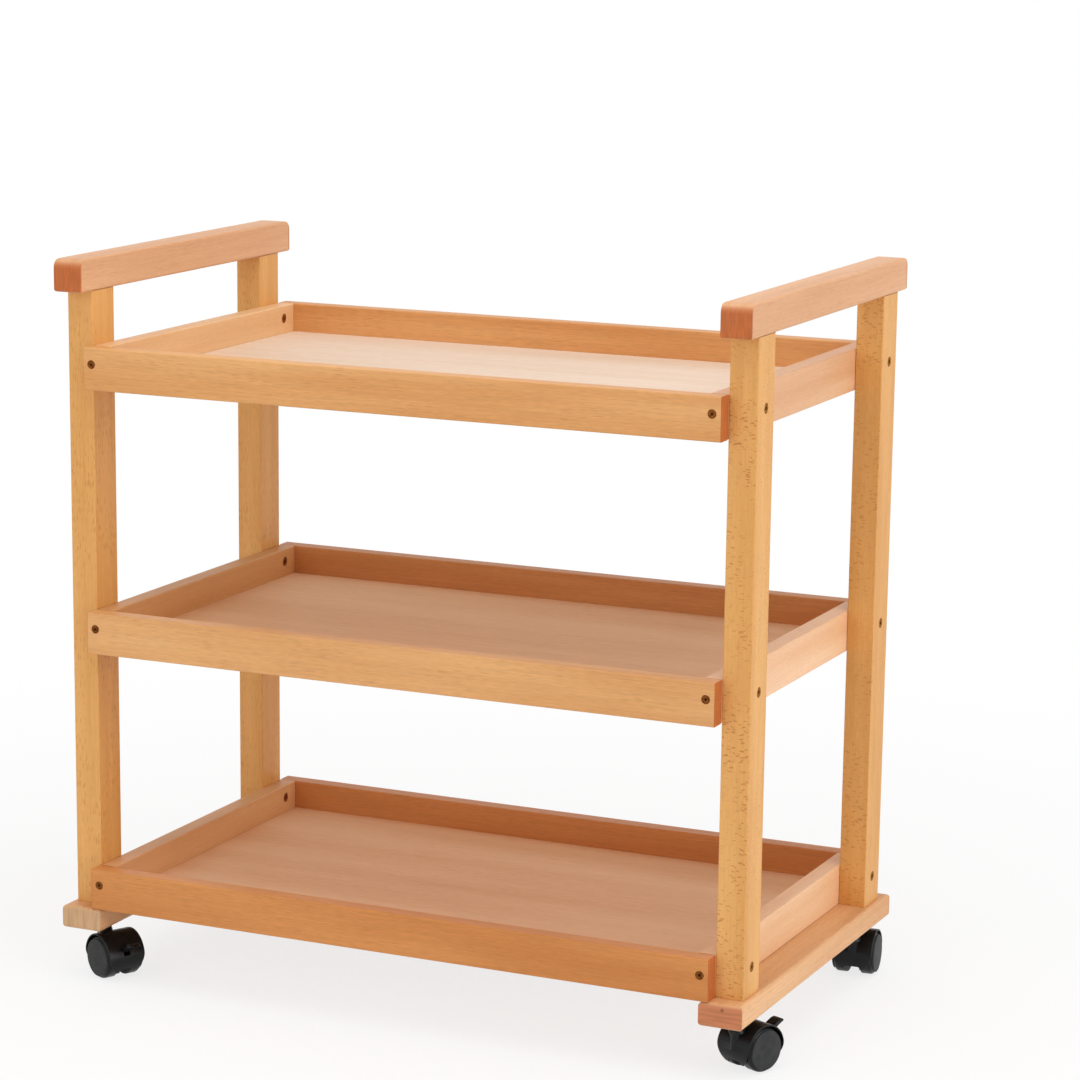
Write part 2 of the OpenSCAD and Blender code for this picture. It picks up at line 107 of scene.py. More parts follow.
def beech(board, grain, rays, tones, log_number, ray_strength=0.5, streaks=0.1, end_depth=0.5,
          end_lines=(40, 1.5, 14), bands=(420, 24, 30), shine=0.3, knot=None):
    """Solid beech under a satin clear lacquer. It shows slow bands of tone, fine straight fibres and the
    wood's rays, which are short dashes on one face and flecks on the next. End grain drinks the lacquer and
    is darker, end_depth mm deep. rays, end_lines and bands are a cell's size in mm along the grain and
    across it; tones are dark, light, ray, end. Boards of different log_number differ in figure. streaks is
    how far the fibres lighten and darken the wood, shine is how much the lacquer reflects, and knot is
    where a small knot lies."""
    dark, light, ray_tone, end_tone = [linear(tone) for tone in tones]
    low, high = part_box(board)
    axis = "XYZ".index(grain)
    middle = (low[axis] + high[axis]) / 2
    half = (high[axis] - low[axis]) / 2
    turn = {"X": (0, 0, 0), "Y": (0, 0, -math.pi / 2), "Z": (0, math.pi / 2, 0)}[grain]

    material, tree, shader, place = blank_material("lacquered beech, " + board.replace("_", " "))
    other_log = tuple(step * log_number for step in LOG_STEP)
    in_log = {"Vector": place, "Rotation": turn, "Location": other_log}
    log = add(tree, "ShaderNodeMapping", in_log).outputs[0]

    # The fibres are drawn a few times coarser than they are, so that they still show from a step away.
    cells = {"bands": bands, "fibres": (60, 1.3, 1.3), "dashes": (11, 1.0, 1.0), "patches": (70, 30, 30),
             "end lines": end_lines, "waves": (14, 9, 9)}
    drawn = {}
    for name, cell in cells.items():
        per_metre = tuple(1 / (size * MM) for size in cell)
        scaled = add(tree, "ShaderNodeVectorMath", {0: log, 1: per_metre}, operation="MULTIPLY").outputs[0]
        noise = {"Vector": scaled, "Scale": 1, "Detail": 2 if name == "bands" else 0}
        drawn[name] = add(tree, "ShaderNodeTexNoise", noise).outputs[0]

    # In each map range, sockets 1 and 2 are the limits of what comes in and 3 and 4 of what goes out.
    tone = add(tree, "ShaderNodeMapRange", {0: drawn["bands"], 1: 0.3, 2: 0.7}).outputs[0]
    wood = add(tree, "ShaderNodeMix", {0: tone, 6: dark, 7: light}, data_type="RGBA").outputs[2]
    fibre = add(tree, "ShaderNodeMath", {0: drawn["fibres"], 1: drawn["dashes"]}, operation="ADD").outputs[0]
    streak = {0: fibre, 1: 0.6, 2: 1.4, 3: 1 - streaks, 4: 1 + streaks}
    shade = add(tree, "ShaderNodeMapRange", streak).outputs[0]
    wood = add(tree, "ShaderNodeVectorMath", {0: wood, 3: shade}, operation="SCALE").outputs[0]

    # The rays lie a little askew where the grain waves, and no two are as long.
    wave = {0: drawn["waves"], 1: GRAIN_WAVE * MM}
    wave = add(tree, "ShaderNodeMath", wave, operation="MULTIPLY").outputs[0]
    wave = add(tree, "ShaderNodeCombineXYZ", {0: wave}).outputs[0]
    askew = add(tree, "ShaderNodeVectorMath", {0: log, 1: wave}, operation="ADD").outputs[0]
    per_metre = tuple(1 / (size * MM) for size in rays)
    askew = add(tree, "ShaderNodeVectorMath", {0: askew, 1: per_metre}, operation="MULTIPLY").outputs[0]
    ray = add(tree, "ShaderNodeTexVoronoi", {"Vector": askew, "Scale": 1}).outputs
    length = add(tree, "ShaderNodeSeparateXYZ", {0: ray["Color"]}).outputs[0]
    length = add(tree, "ShaderNodeMath", {0: length, 1: -RAY_SPREAD}, operation="MULTIPLY").outputs[0]
    edge = add(tree, "ShaderNodeMath", {0: ray["Distance"], 1: length}, operation="ADD").outputs[0]
    fleck = {0: edge, 1: RAY_EDGE, 2: RAY_SOFT, 3: ray_strength, 4: 0}
    fleck = add(tree, "ShaderNodeMapRange", fleck).outputs[0]
    patch = add(tree, "ShaderNodeMapRange", {0: drawn["patches"], 1: 0.4, 2: 0.6, 3: 0.25, 4: 1}).outputs[0]
    fleck = add(tree, "ShaderNodeMath", {0: fleck, 1: patch}, operation="MULTIPLY").outputs[0]
    wood = add(tree, "ShaderNodeMix", {0: fleck, 6: wood, 7: ray_tone}, data_type="RGBA").outputs[2]

    # The end grain's tone covers the board's last stretch at both ends, with lines where the years lie.
    along = add(tree, "ShaderNodeSeparateXYZ", {0: log}).outputs[0]
    along = add(tree, "ShaderNodeMath", {0: along, 1: middle}, operation="SUBTRACT").outputs[0]
    along = add(tree, "ShaderNodeMath", {0: along}, operation="ABSOLUTE").outputs[0]
    end = add(tree, "ShaderNodeMapRange", {0: along, 1: half - end_depth * MM, 2: half, 4: 0.95}).outputs[0]
    years = {0: drawn["end lines"], 1: 0.35, 2: 0.65, 3: 0.88, 4: 1.08}
    line = add(tree, "ShaderNodeMapRange", years).outputs[0]
    cut = add(tree, "ShaderNodeVectorMath", {0: end_tone[:3], 3: line}, operation="SCALE").outputs[0]
    wood = add(tree, "ShaderNodeMix", {0: end, 6: wood, 7: cut}, data_type="RGBA").outputs[2]

    if knot:
        apart = add(tree, "ShaderNodeVectorMath", {0: place, 1: knot}, operation="DISTANCE").outputs[1]
        spot = {0: apart, 1: KNOT_CORE * MM, 2: KNOT_RIM * MM, 3: 0.8, 4: 0}
        dark_spot = add(tree, "ShaderNodeMapRange", spot).outputs[0]
        knotted = {0: dark_spot, 6: wood, 7: linear("#5c2f14")}
        wood = add(tree, "ShaderNodeMix", knotted, data_type="RGBA").outputs[2]

    gloss = add(tree, "ShaderNodeMapRange", {0: fibre, 1: 0.6, 2: 1.4, 3: 0.55, 4: 0.45}).outputs[0]
    relief = add(tree, "ShaderNodeBump", {"Height": fibre, "Strength": 0.2, "Distance": 0.1 * MM}).outputs[0]
    tree.links.new(wood, shader.inputs["Base Color"])
    tree.links.new(gloss, shader.inputs["Roughness"])
    tree.links.new(relief, shader.inputs["Normal"])
    shader.inputs["Specular IOR Level"].default_value = shine
    shader.inputs["Coat Weight"].default_value = 0.3 * shine
    shader.inputs["Coat Roughness"].default_value = 0.3
    return material


def finish_node(node, material):
    """Gives a solid of the frame its finished surface."""
    solid = nodes[node]
    solid.data.materials.clear()
    solid.data.materials.append(material)


FOOT_RAIL_LOG = 1
for log_number, side in enumerate(("left", "right"), FOOT_RAIL_LOG):
    rail = side + "_foot_rail"
    end_tone, end_lines, knot = "#c59f76", (40, 2.4, 30), None
    if side == "right":
        low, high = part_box(rail)
        knot = ((low[0] + high[0]) / 2 + KNOT_ASIDE * MM, low[1], high[2] - KNOT_DOWN * MM)
        end_tone, end_lines = "#bd744c", (40, 30, 2.4)
    tones = ("#d39a66", "#e4b382", "#9a5e2c", end_tone)
    wood = beech(rail, "Y", (16, 1.3, 1.3), tones, log_number, ray_strength=0.2, streaks=0.06, end_depth=2.5,
                 end_lines=end_lines, knot=knot)
    finish_node(rail, wood)


# Posts: four uprights of solid beech, one at each corner, planed square with eased edges.
# The right-hand pair is quarter sawn, so that its rays show as small dark flecks across the grain.
CORNERS = ("front_left", "front_right", "back_left", "back_right")
POST_LOG = 5
for log_number, corner in enumerate(CORNERS, POST_LOG):
    post = corner + "_post"
    rays = (1.9, 0.9, 6.5) if corner.endswith("right") else (9, 1.2, 1.2)
    tones = ("#d3974f", "#e2aa64", "#a04e10", "#b8743c")
    strength = 0.55 if corner == "front_right" else 0.4
    finish_node(post, beech(post, "Z", rays, tones, log_number, ray_strength=strength, streaks=0.06))


# Tray rails: four beech boards round each of the three trays, the long ones lapping the side ones' ends.
# A groove inside each rail holds the tray's panel. The side rails, smoother boards, are bolted to the posts.
RAIL_LOG = 9
# The middle and bottom right rails' lighter tones are painted light, standing in for light that the handles
# keep off their outer faces. The middle and bottom back rails and the middle left rail are darker with
# painted shade from the trays' contents.
RAIL_TONES = {
    "bottom": {"front": ("#c1783a", "#d18c4d"), "back": ("#bd733a", "#cc874e"),
               "left": ("#cf9662", "#dcaa78"), "right": ("#e0aa7a", "#edc299")},
    "middle": {"front": ("#d1945a", "#e0aa70"), "back": ("#b9713a", "#c98850"),
               "left": ("#c58a54", "#d29c66"), "right": ("#e4b084", "#f0c6a0")},
    "top": {"front": ("#cd8e50", "#dda569"), "back": ("#cd8c50", "#dba268"),
            "left": ("#dba672", "#e8bd8c"), "right": ("#d79f72", "#e4b68e")},
}
rails = [(tray, rail, face) for tray, faces in RAIL_TONES.items() for rail, face in faces.items()]
for log_number, (tray, rail, face) in enumerate(rails, RAIL_LOG):
    board = f"{tray}_tray_{rail}_rail"
    tones = (*face, "#a3662e", "#b5622f")
    grain, strength, streaks = ("X", 0.25, 0.08) if rail in ("front", "back") else ("Y", 0.12, 0.04)
    finish_node(board, beech(board, grain, (15, 1.2, 1.2), tones, log_number, strength, streaks))


# Tray panels: thin plywood with a pale face veneer, sliding in the rails' grooves, under a satin lacquer.
# The face veneer is knife cut, so its figure runs in broad soft bands along the tray.
PANEL_LOG = 23
for log_number, tray in enumerate(RAIL_TONES, PANEL_LOG):
    panel = tray + "_tray_panel"
    # The top panel's paler, less warm tone is painted light, standing in for the strong light from above;
    # the lower panels keep the warmer tone.
    face = ("#dfc3aa", "#e9d2be") if tray == "top" else ("#e4b58c", "#efc7a2")
    tones = (*face, "#bd936e", "#c09064")
    veneer = beech(panel, "X", (15, 2.6, 6), tones, log_number, ray_strength=0.16, streaks=0.05,
                   bands=(700, 60, 40), shine=0.04)
    finish_node(panel, veneer)


# Handles: two beech bars on the post tops, front to back, with well rounded upper ends.
# Blind dowels hold them, so nothing shows but the bar and its dark, fine-lined end grain.
HANDLE_LOG, DOWEL_LOG = 30, 33
for log_number, side in enumerate(("left", "right"), HANDLE_LOG):
    handle = side + "_handle"
    tones = ("#cf976a", "#dcaa80", "#a3662f", "#b65c20")
    wood = beech(handle, "Y", (26, 1.2, 1.2), tones, log_number, ray_strength=0.2, streaks=0.05, end_depth=3)
    finish_node(handle, wood)
finish_node("handle_dowels", beech("handle_dowels", "Z", (12, 6, 2.2), ("#d8b07c",) * 4, DOWEL_LOG))


# Screws, bolts and nuts: bronzed steel, countersunk or let in flush with the wood.
# The corner screws have a cross recess; the post bolts a hexagon socket, and a sleeve nut inside the tray.
# A recess is a cross or has six sides. SINK is the share of its own length by which a shape is lowered.
CROSS, HEXAGON = 0, 6
HEAD_SIDES, SHANK_SIDES = 40, 24
SHANK_SINK = 0.55
ARM_POINT, ARM_THIN, ARM_SINK = 0.2, 0.3, 0.9
SCREW = {"Rim Radius": 3.9, "Head Radius": 4.2, "Rim Height": 0.3, "Neck Radius": 2, "Head Height": 1.9,
         "Shank Radius": 2, "Recess Radius": 2.5, "Recess Depth": 2.2}
BOLT = {"Rim Radius": 4.4, "Head Radius": 4.75, "Rim Height": 0.35, "Neck Radius": 4.75, "Head Height": 1.65,
        "Recess Radius": 2, "Recess Depth": 2.8}
# Each kind has the axis of its shank, 1 where its head faces outwards or up, its recess and its sizes in mm.
FASTENERS = {
    "tray_corner_screws": ("Y", 1, CROSS, {**SCREW, "Length": 27}),
    "post_bolts": ("X", 1, HEXAGON, {**BOLT, "Shank Radius": 3, "Length": 36}),
    "post_bolt_nuts": ("X", -1, HEXAGON, {**BOLT, "Shank Radius": 4, "Length": 12}),
    "foot_rail_screws": ("Z", -1, CROSS, {**SCREW, "Length": 54}),
}


def bronzed_steel(name, dark, light):
    """Steel with a brown chemical finish, uneven and a little rubbed, from a dark tone to a light one."""
    material, tree, shader, place = blank_material(name)
    patches = {"Vector": place, "Scale": 1 / (1.5 * MM), "Detail": 3}
    cloud = add(tree, "ShaderNodeTexNoise", patches).outputs[0]
    tone = add(tree, "ShaderNodeMapRange", {0: cloud, 1: 0.35, 2: 0.65}).outputs[0]
    colours = {0: tone, 6: linear(dark), 7: linear(light)}
    colour = add(tree, "ShaderNodeMix", colours, data_type="RGBA").outputs[2]
    gloss = add(tree, "ShaderNodeMapRange", {0: cloud, 3: 0.3, 4: 0.55}).outputs[0]
    tree.links.new(colour, shader.inputs["Base Color"])
    tree.links.new(gloss, shader.inputs["Roughness"])
    shader.inputs["Metallic"].default_value = 1
    shader.inputs["Specular Tint"].default_value = linear("#d8b890")
    return material


def solid_boxes(node):
    """Lowest and highest corner of every separate solid in a node of like pieces, in order of place."""
    copy = bmesh.new()
    copy.from_mesh(nodes[node].data)
    bmesh.ops.remove_doubles(copy, verts=copy.verts, dist=0.001 * MM)
    waiting, boxes = set(copy.verts), []
    while waiting:
        island, edge_of_island = set(), [waiting.pop()]
        while edge_of_island:
            vert = edge_of_island.pop()
            island.add(vert)
            near = {edge.other_vert(vert) for edge in vert.link_edges} & waiting
            waiting -= near
            edge_of_island.extend(near)
        corners = [[pick(vert.co[axis] for vert in island) for axis in range(3)] for pick in (min, max)]
        boxes.append((Vector(corners[0]), Vector(corners[1])))
    copy.free()
    return sorted(boxes, key=lambda box: tuple(box[0]))


def head_places(node, axis, outwards):
    """Where the heads of a group of fasteners lie and which way they face, along one axis of the cart."""
    places = []
    for low, high in solid_boxes(node):
        middle = (low + high) / 2
        side = math.copysign(1, middle[axis]) * outwards if axis < 2 else outwards
        middle[axis] = high[axis] if side > 0 else low[axis]
        facing = Vector((0, 0, 0))
        facing[axis] = side
        places.append((middle, facing))
    return places


def fastener_tree(name, sizes, recess_sides):
    """Geometry nodes for one kind of fastener, set on every point with its head along the point's facing.
    The head and the shank are turned shapes, and the recess is a cross or a polygon of so many sides."""
    tree = bpy.data.node_groups.new(name, "GeometryNodeTree")
    tree.interface.new_socket("Geometry", in_out="INPUT", socket_type="NodeSocketGeometry")
    for size in sizes:
        tree.interface.new_socket(size, in_out="INPUT", socket_type="NodeSocketFloat")
    tree.interface.new_socket("Seed", in_out="INPUT", socket_type="NodeSocketInt")
    tree.interface.new_socket("Material", in_out="INPUT", socket_type="NodeSocketMaterial")
    tree.interface.new_socket("Geometry", in_out="OUTPUT", socket_type="NodeSocketGeometry")
    given = add(tree, "NodeGroupInput").outputs

    def lowered(shape, depth, share=1.0):
        """A shape moved down by a share of a depth."""
        drop = add(tree, "ShaderNodeMath", {0: depth, 1: -share}, operation="MULTIPLY").outputs[0]
        place = add(tree, "ShaderNodeCombineXYZ", {"Z": drop}).outputs[0]
        return add(tree, "GeometryNodeTransform", {"Geometry": shape, "Translation": place}).outputs[0]

    chamfer = {"Vertices": HEAD_SIDES, "Radius Top": given["Rim Radius"],
               "Radius Bottom": given["Head Radius"], "Depth": given["Rim Height"]}
    head = {"Vertices": HEAD_SIDES, "Radius Top": given["Head Radius"],
            "Radius Bottom": given["Neck Radius"], "Depth": given["Head Height"]}
    shank = {"Vertices": SHANK_SIDES, "Radius": given["Shank Radius"], "Depth": given["Length"]}
    turned = [lowered(add(tree, "GeometryNodeMeshCone", chamfer).outputs[0], given["Rim Height"]),
              lowered(lowered(add(tree, "GeometryNodeMeshCone", head).outputs[0], given["Head Height"]),
                      given["Rim Height"]),
              lowered(add(tree, "GeometryNodeMeshCylinder", shank).outputs[0], given["Length"], SHANK_SINK)]
    body = add(tree, "GeometryNodeMeshBoolean", operation="UNION", solver="EXACT")
    for shape in turned:
        tree.links.new(shape, body.inputs["Mesh 2"])
    drive = add(tree, "GeometryNodeMeshBoolean", {"Mesh 1": body.outputs[0]}, operation="DIFFERENCE",
                solver="EXACT")
    if recess_sides:
        socket = {"Vertices": recess_sides, "Radius": given["Recess Radius"], "Depth": given["Recess Depth"]}
        tree.links.new(add(tree, "GeometryNodeMeshCylinder", socket).outputs[0], drive.inputs["Mesh 2"])
    else:
        arm = {"Vertices": 4, "Radius Top": given["Recess Radius"], "Radius Bottom": ARM_POINT * MM,
               "Depth": given["Recess Depth"]}
        for turn in (0, math.pi / 2):
            point = add(tree, "GeometryNodeMeshCone", arm).outputs[0]
            point = lowered(point, given["Recess Depth"], ARM_SINK)
            narrow = {"Geometry": point, "Scale": (1, ARM_THIN, 1), "Rotation": (0, 0, turn)}
            tree.links.new(add(tree, "GeometryNodeTransform", narrow).outputs[0], drive.inputs["Mesh 2"])

    facing = add(tree, "GeometryNodeInputNamedAttribute", {"Name": "facing"}, data_type="FLOAT_VECTOR")
    facing = facing.outputs[0]
    upright = add(tree, "FunctionNodeAlignRotationToVector", {"Vector": facing}, axis="Z").outputs[0]
    instances = {"Points": given["Geometry"], "Instance": drive.outputs[0], "Rotation": upright}
    spread = add(tree, "GeometryNodeInstanceOnPoints", instances).outputs[0]
    half_turn = {3: math.pi, "Seed": given["Seed"]}
    roll = add(tree, "FunctionNodeRandomValue", half_turn, data_type="FLOAT").outputs[1]
    rolled = add(tree, "ShaderNodeCombineXYZ", {"Z": roll}).outputs[0]
    driven = add(tree, "GeometryNodeRotateInstances", {"Instances": spread, "Rotation": rolled}).outputs[0]
    real = add(tree, "GeometryNodeRealizeInstances", {"Geometry": driven}).outputs[0]
    coated = {"Geometry": real, "Material": given["Material"]}
    finished = add(tree, "GeometryNodeSetMaterial", coated).outputs[0]
    add(tree, "NodeGroupOutput", {"Geometry": finished})
    return tree


def set_on_points(name, tree, places, values):
    """A plain mesh of the tree's pieces on the given places, each a point and the way that it faces."""
    points = bpy.data.meshes.new(name)
    points.from_pydata([place for place, facing in places], [], [])
    facings = points.attributes.new("facing", "FLOAT_VECTOR", "POINT")
    facings.data.foreach_set("vector", [part for place, facing in places for part in facing])
    piece = bpy.data.objects.new(name, points)
    bpy.context.scene.collection.objects.link(piece)
    modifier = piece.modifiers.new(name, "NODES")
    modifier.node_group = tree
    for item in tree.interface.items_tree:
        if item.in_out == "INPUT" and item.name in values:
            modifier[item.identifier] = values[item.name]
    made = bpy.data.meshes.new_from_object(piece.evaluated_get(bpy.context.evaluated_depsgraph_get()))
    piece.modifiers.clear()
    piece.data = made
    return piece


bronze = bronzed_steel("bronzed steel", "#5a3014", "#8a5428")
# The bolts and nuts get a paler bronze than the screws.
pale_bronze = bronzed_steel("pale bronzed steel", "#8e6038", "#b0845a")
for seed, (node, (axis, outwards, recess_sides, sizes)) in enumerate(FASTENERS.items()):
    tree = fastener_tree(node.replace("_", " "), sizes, recess_sides)
    values = {name: size * MM for name, size in sizes.items()}
    values.update({"Seed": seed, "Material": pale_bronze if recess_sides == HEXAGON else bronze})
    places = head_places(node, "XYZ".index(axis), outwards)
    piece = set_on_points("bronzed_" + node, tree, places, values)
    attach(piece, "frame")
    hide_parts(node)


# Casters' steel: the threaded inserts in the foot rails, the swivel stems with their flanges, the axles
# and the brake levers' pins. All are turned from mild steel and zinc plated.
def zinc_steel():
    """Bright zinc plate, with the fine crystalline cloudiness of a barrel-plated part."""
    material, tree, shader, place = blank_material("zinc plated steel")
    crystals = {"Vector": place, "Scale": 1 / (0.8 * MM), "Detail": 3}
    cloud = add(tree, "ShaderNodeTexNoise", crystals).outputs[0]
    colours = {0: cloud, 6: linear("#8d8f90"), 7: linear("#b4b6b6")}
    colour = add(tree, "ShaderNodeMix", colours, data_type="RGBA").outputs[2]
    gloss = add(tree, "ShaderNodeMapRange", {0: cloud, 3: 0.28, 4: 0.45}).outputs[0]
    tree.links.new(colour, shader.inputs["Base Color"])
    tree.links.new(gloss, shader.inputs["Roughness"])
    shader.inputs["Metallic"].default_value = 1
    return material


zinc = zinc_steel()
for node in nodes:
    if node.endswith(("_inserts", "_stem", "_axle", "_brake_pin")):
        finish_node(node, zinc)


# Caster hoods: one black nylon moulding each, with the cover over both wheels, the web between them
# and the collar that turns on the stem. The front two have a slot for the brake lever.
# Sizes are in mm and angles in degrees, in a caster's own frame: stem above the origin, trail along +X.
joints = {joint["name"]: joint for joint in frame["joints"]}
stem, axle, pivot = [Vector(joints["front_left_" + joint]["pos_m"]) / MM
                     for joint in ("swivel", "wheel_a_spin", "brake")]
TRAIL, WHEEL_RADIUS = (axle - stem).xy.length, axle.z
ROUND_STEPS = 48
HOOD_INNER, HOOD_OUTER, HOOD_HALF = 22.2, 23.8, 20
HOOD_DROP, HOOD_EDGE, HOOD_STEPS = 34, 0.5, 56
HOOD_START, HOOD_STOP = -HOOD_DROP, 180 + HOOD_DROP
SKIRT_START, SKIRT_HALF = 15, 11
ARCH_HALF, ARCH_HEIGHT, ARCH_ROUND = 7.5, 11.5, 2
WEB_RADIUS, WEB_HALF = (HOOD_INNER + HOOD_OUTER) / 2, 6.2
HUB_RADIUS, HUB_STEPS = 6, 12
COLLAR_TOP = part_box("front_left_hood")[1][2] / MM
COLLAR_RADIUS, COLLAR_FLARE, COLLAR_TAPER, COLLAR_EDGE = 6.3, 8.2, 1.2, 0.6
AXLE_BORE, STEM_BORE, STEM_DEPTH, STEM_CUT = 3.05, 4.05, 20.3, 5
LEVER_RADIUS = (pivot - axle).length
LEVER_ANGLE = math.degrees(math.asin((pivot.z - axle.z) / LEVER_RADIUS))
LEVER_TRAVEL = 18
LEVER_ARM, LEVER_THICK, LEVER_GAP = 6, 4.5, 0.6


def moulded_nylon(name, dark, light, roughness, shine):
    """Nylon from a spark-eroded mould: a fine even grain that breaks up the shine, and slightly cloudy
    colour. The real grain is about 0.1 mm; it is drawn at 0.4 mm so that it shows."""
    material, tree, shader, place = blank_material(name)
    fine, broad = [{"Vector": place, "Scale": 1 / (size * MM), "Detail": detail}
                   for size, detail in ((0.4, 1), (9, 2))]
    grain = add(tree, "ShaderNodeTexNoise", fine).outputs[0]
    cloud = add(tree, "ShaderNodeTexNoise", broad).outputs[0]
    tone = add(tree, "ShaderNodeMapRange", {0: cloud, 1: 0.3, 2: 0.7}).outputs[0]
    colours = {0: tone, 6: linear(dark), 7: linear(light)}
    colour = add(tree, "ShaderNodeMix", colours, data_type="RGBA").outputs[2]
    gloss = add(tree, "ShaderNodeMapRange", {0: grain, 3: roughness - 0.08, 4: roughness + 0.08}).outputs[0]
    pits = {"Height": grain, "Strength": 0.25, "Distance": 0.05 * MM}
    relief = add(tree, "ShaderNodeBump", pits).outputs[0]
    tree.links.new(colour, shader.inputs["Base Color"])
    tree.links.new(gloss, shader.inputs["Roughness"])
    tree.links.new(relief, shader.inputs["Normal"])
    shader.inputs["Specular IOR Level"].default_value = shine
    return material


def arc(centre, radius, start, stop, steps):
    """Points of an arc in a plane, from one angle in degrees to another."""
    turns = [math.radians(start + (stop - start) * step / steps) for step in range(steps + 1)]
    return [(centre[0] + radius * math.cos(turn), centre[1] + radius * math.sin(turn)) for turn in turns]


def skin(name, rings, round_outline=True, round_path=False):
    """An object whose surface runs through rows of points. A row is a closed outline or an open line,
    and the last row may join the first; a closed outline's two ends are capped if they stay open."""
    shape = bmesh.new()
    rows = [[shape.verts.new(Vector(point) * MM) for point in ring] for ring in rings]
    count = len(rows[0])
    last_row = len(rows) if round_path else len(rows) - 1
    for row in range(last_row):
        ahead = rows[(row + 1) % len(rows)]
        for step in range(count if round_outline else count - 1):
            nxt = (step + 1) % count
            shape.faces.new((rows[row][step], rows[row][nxt], ahead[nxt], ahead[step]))
    if round_outline and not round_path:
        shape.faces.new(rows[0])
        shape.faces.new(rows[-1])
    bmesh.ops.remove_doubles(shape, verts=shape.verts, dist=0.0005 * MM)
    bmesh.ops.recalc_face_normals(shape, faces=shape.faces)
    mesh = bpy.data.meshes.new(name)
    shape.to_mesh(mesh)
    shape.free()
    made = bpy.data.objects.new(name, mesh)
    bpy.context.scene.collection.objects.link(made)
    return made


def carve(piece, tool, operation):
    """Joins a tool's shape to a piece, or cuts it out, and removes the tool."""
    modifier = piece.modifiers.new("carve", "BOOLEAN")
    modifier.operation = operation
    modifier.solver = "EXACT"
    modifier.object = tool
    made = bpy.data.meshes.new_from_object(piece.evaluated_get(bpy.context.evaluated_depsgraph_get()))
    piece.modifiers.clear()
    piece.data = made
    bpy.data.objects.remove(tool)


def smooth(piece, sharp_degrees):
    """Smooth shading with the true edges kept."""
    piece.data.shade_smooth()
    piece.data.set_sharp_from_angle(angle=math.radians(sharp_degrees))


def caster_place(corner):
    """From a caster's own frame to the cart's."""
    stem = Vector(joints[corner + "_swivel"]["pos_m"])
    axle = Vector(joints[corner + "_wheel_a_spin"]["pos_m"])
    trail = Vector((axle.x - stem.x, axle.y - stem.y, 0)).normalized()
    turned = Matrix((trail, Vector((0, 0, 1)).cross(trail), (0, 0, 1))).transposed().to_4x4()
    return Matrix.Translation((stem.x, stem.y, 0)) @ turned


def set_down(model, name, corner, body, node, material):
    """A copy of a caster's part in its place on the cart, riding on its body and shown for its node."""
    mesh = model.data.copy()
    mesh.transform(caster_place(corner))
    mesh.materials.clear()
    mesh.materials.append(material)
    piece = bpy.data.objects.new(name, mesh)
    bpy.context.scene.collection.objects.link(piece)
    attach(piece, body)
    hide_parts(node)
    return piece


def on_axle(radius, turn, along):
    """A point round the axle: its radius, its angle above the trail, and its place along the axle."""
    turn = math.radians(turn)
    return (TRAIL + radius * math.cos(turn), along, WHEEL_RADIUS + radius * math.sin(turn))


def round_bar(radius, first, last):
    """A round bar from one point to another."""
    first, last = Vector(first), Vector(last)
    side = (last - first).orthogonal().normalized() * radius
    up = (last - first).normalized().cross(side)
    turns = [math.tau * step / ROUND_STEPS for step in range(ROUND_STEPS)]
    rings = [[end + side * math.cos(turn) + up * math.sin(turn) for turn in turns] for end in (first, last)]
    return skin("bar", rings)


def lever_point(along, side, lift, lowered=0):
    """A point of the brake lever: along its arm from the pivot, across it and above it."""
    hinge = Vector(on_axle(LEVER_RADIUS, LEVER_ANGLE, 0))
    turn = math.radians(LEVER_ANGLE - lowered)
    out, up = Vector((math.cos(turn), 0, math.sin(turn))), Vector((-math.sin(turn), 0, math.cos(turn)))
    return hinge + out * along + up * lift + Vector((0, side, 0))


def cover_section(inset):
    """Section of the cover across the wheels, (side, radius) points; inset draws it in all round."""
    half, outer, inner = HOOD_HALF - inset, HOOD_OUTER - inset, HOOD_INNER + inset
    wall = outer - inner
    shoulder, lip = 0.6 * wall, 0.3 * wall
    outline = arc((half - shoulder, outer - shoulder), shoulder, 0, 90, 6)
    outline += arc((shoulder - half, outer - shoulder), shoulder, 90, 180, 6)
    outline += arc((lip - half, inner + lip), lip, 180, 270, 3)
    outline += arc((half - lip, inner + lip), lip, 270, 360, 3)
    return outline


def cover_shape():
    """The cover, bent round the wheels, with its two lower edges eased."""
    eased = [(HOOD_EDGE * (1 - math.cos(math.radians(turn))), HOOD_EDGE * (1 - math.sin(math.radians(turn))))
             for turn in (0, 30, 60, 90)]
    margin = math.degrees(HOOD_EDGE / HOOD_OUTER)
    span = HOOD_STOP - HOOD_START - 2 * margin
    bends = [(HOOD_START + math.degrees(back / HOOD_OUTER), inset) for back, inset in eased]
    bends += [(HOOD_START + margin + span * step / HOOD_STEPS, 0) for step in range(1, HOOD_STEPS)]
    bends += [(HOOD_STOP - math.degrees(back / HOOD_OUTER), inset) for back, inset in reversed(eased)]
    rings = [[on_axle(radius, turn, side) for side, radius in cover_section(inset)] for turn, inset in bends]
    return skin("cover", rings)


def web_shape():
    """The wall between the two wheels, closed below the axle by its round hub."""
    span, rest = HOOD_STOP - HOOD_START, 360 + HOOD_START - HOOD_STOP
    outline = [(WEB_RADIUS, HOOD_START + span * step / ROUND_STEPS) for step in range(ROUND_STEPS + 1)]
    outline += [(HUB_RADIUS, HOOD_STOP + rest * step / HUB_STEPS) for step in range(HUB_STEPS + 1)]
    sides = (-WEB_HALF, WEB_HALF)
    return skin("web", [[on_axle(radius, turn, side) for radius, turn in outline] for side in sides])


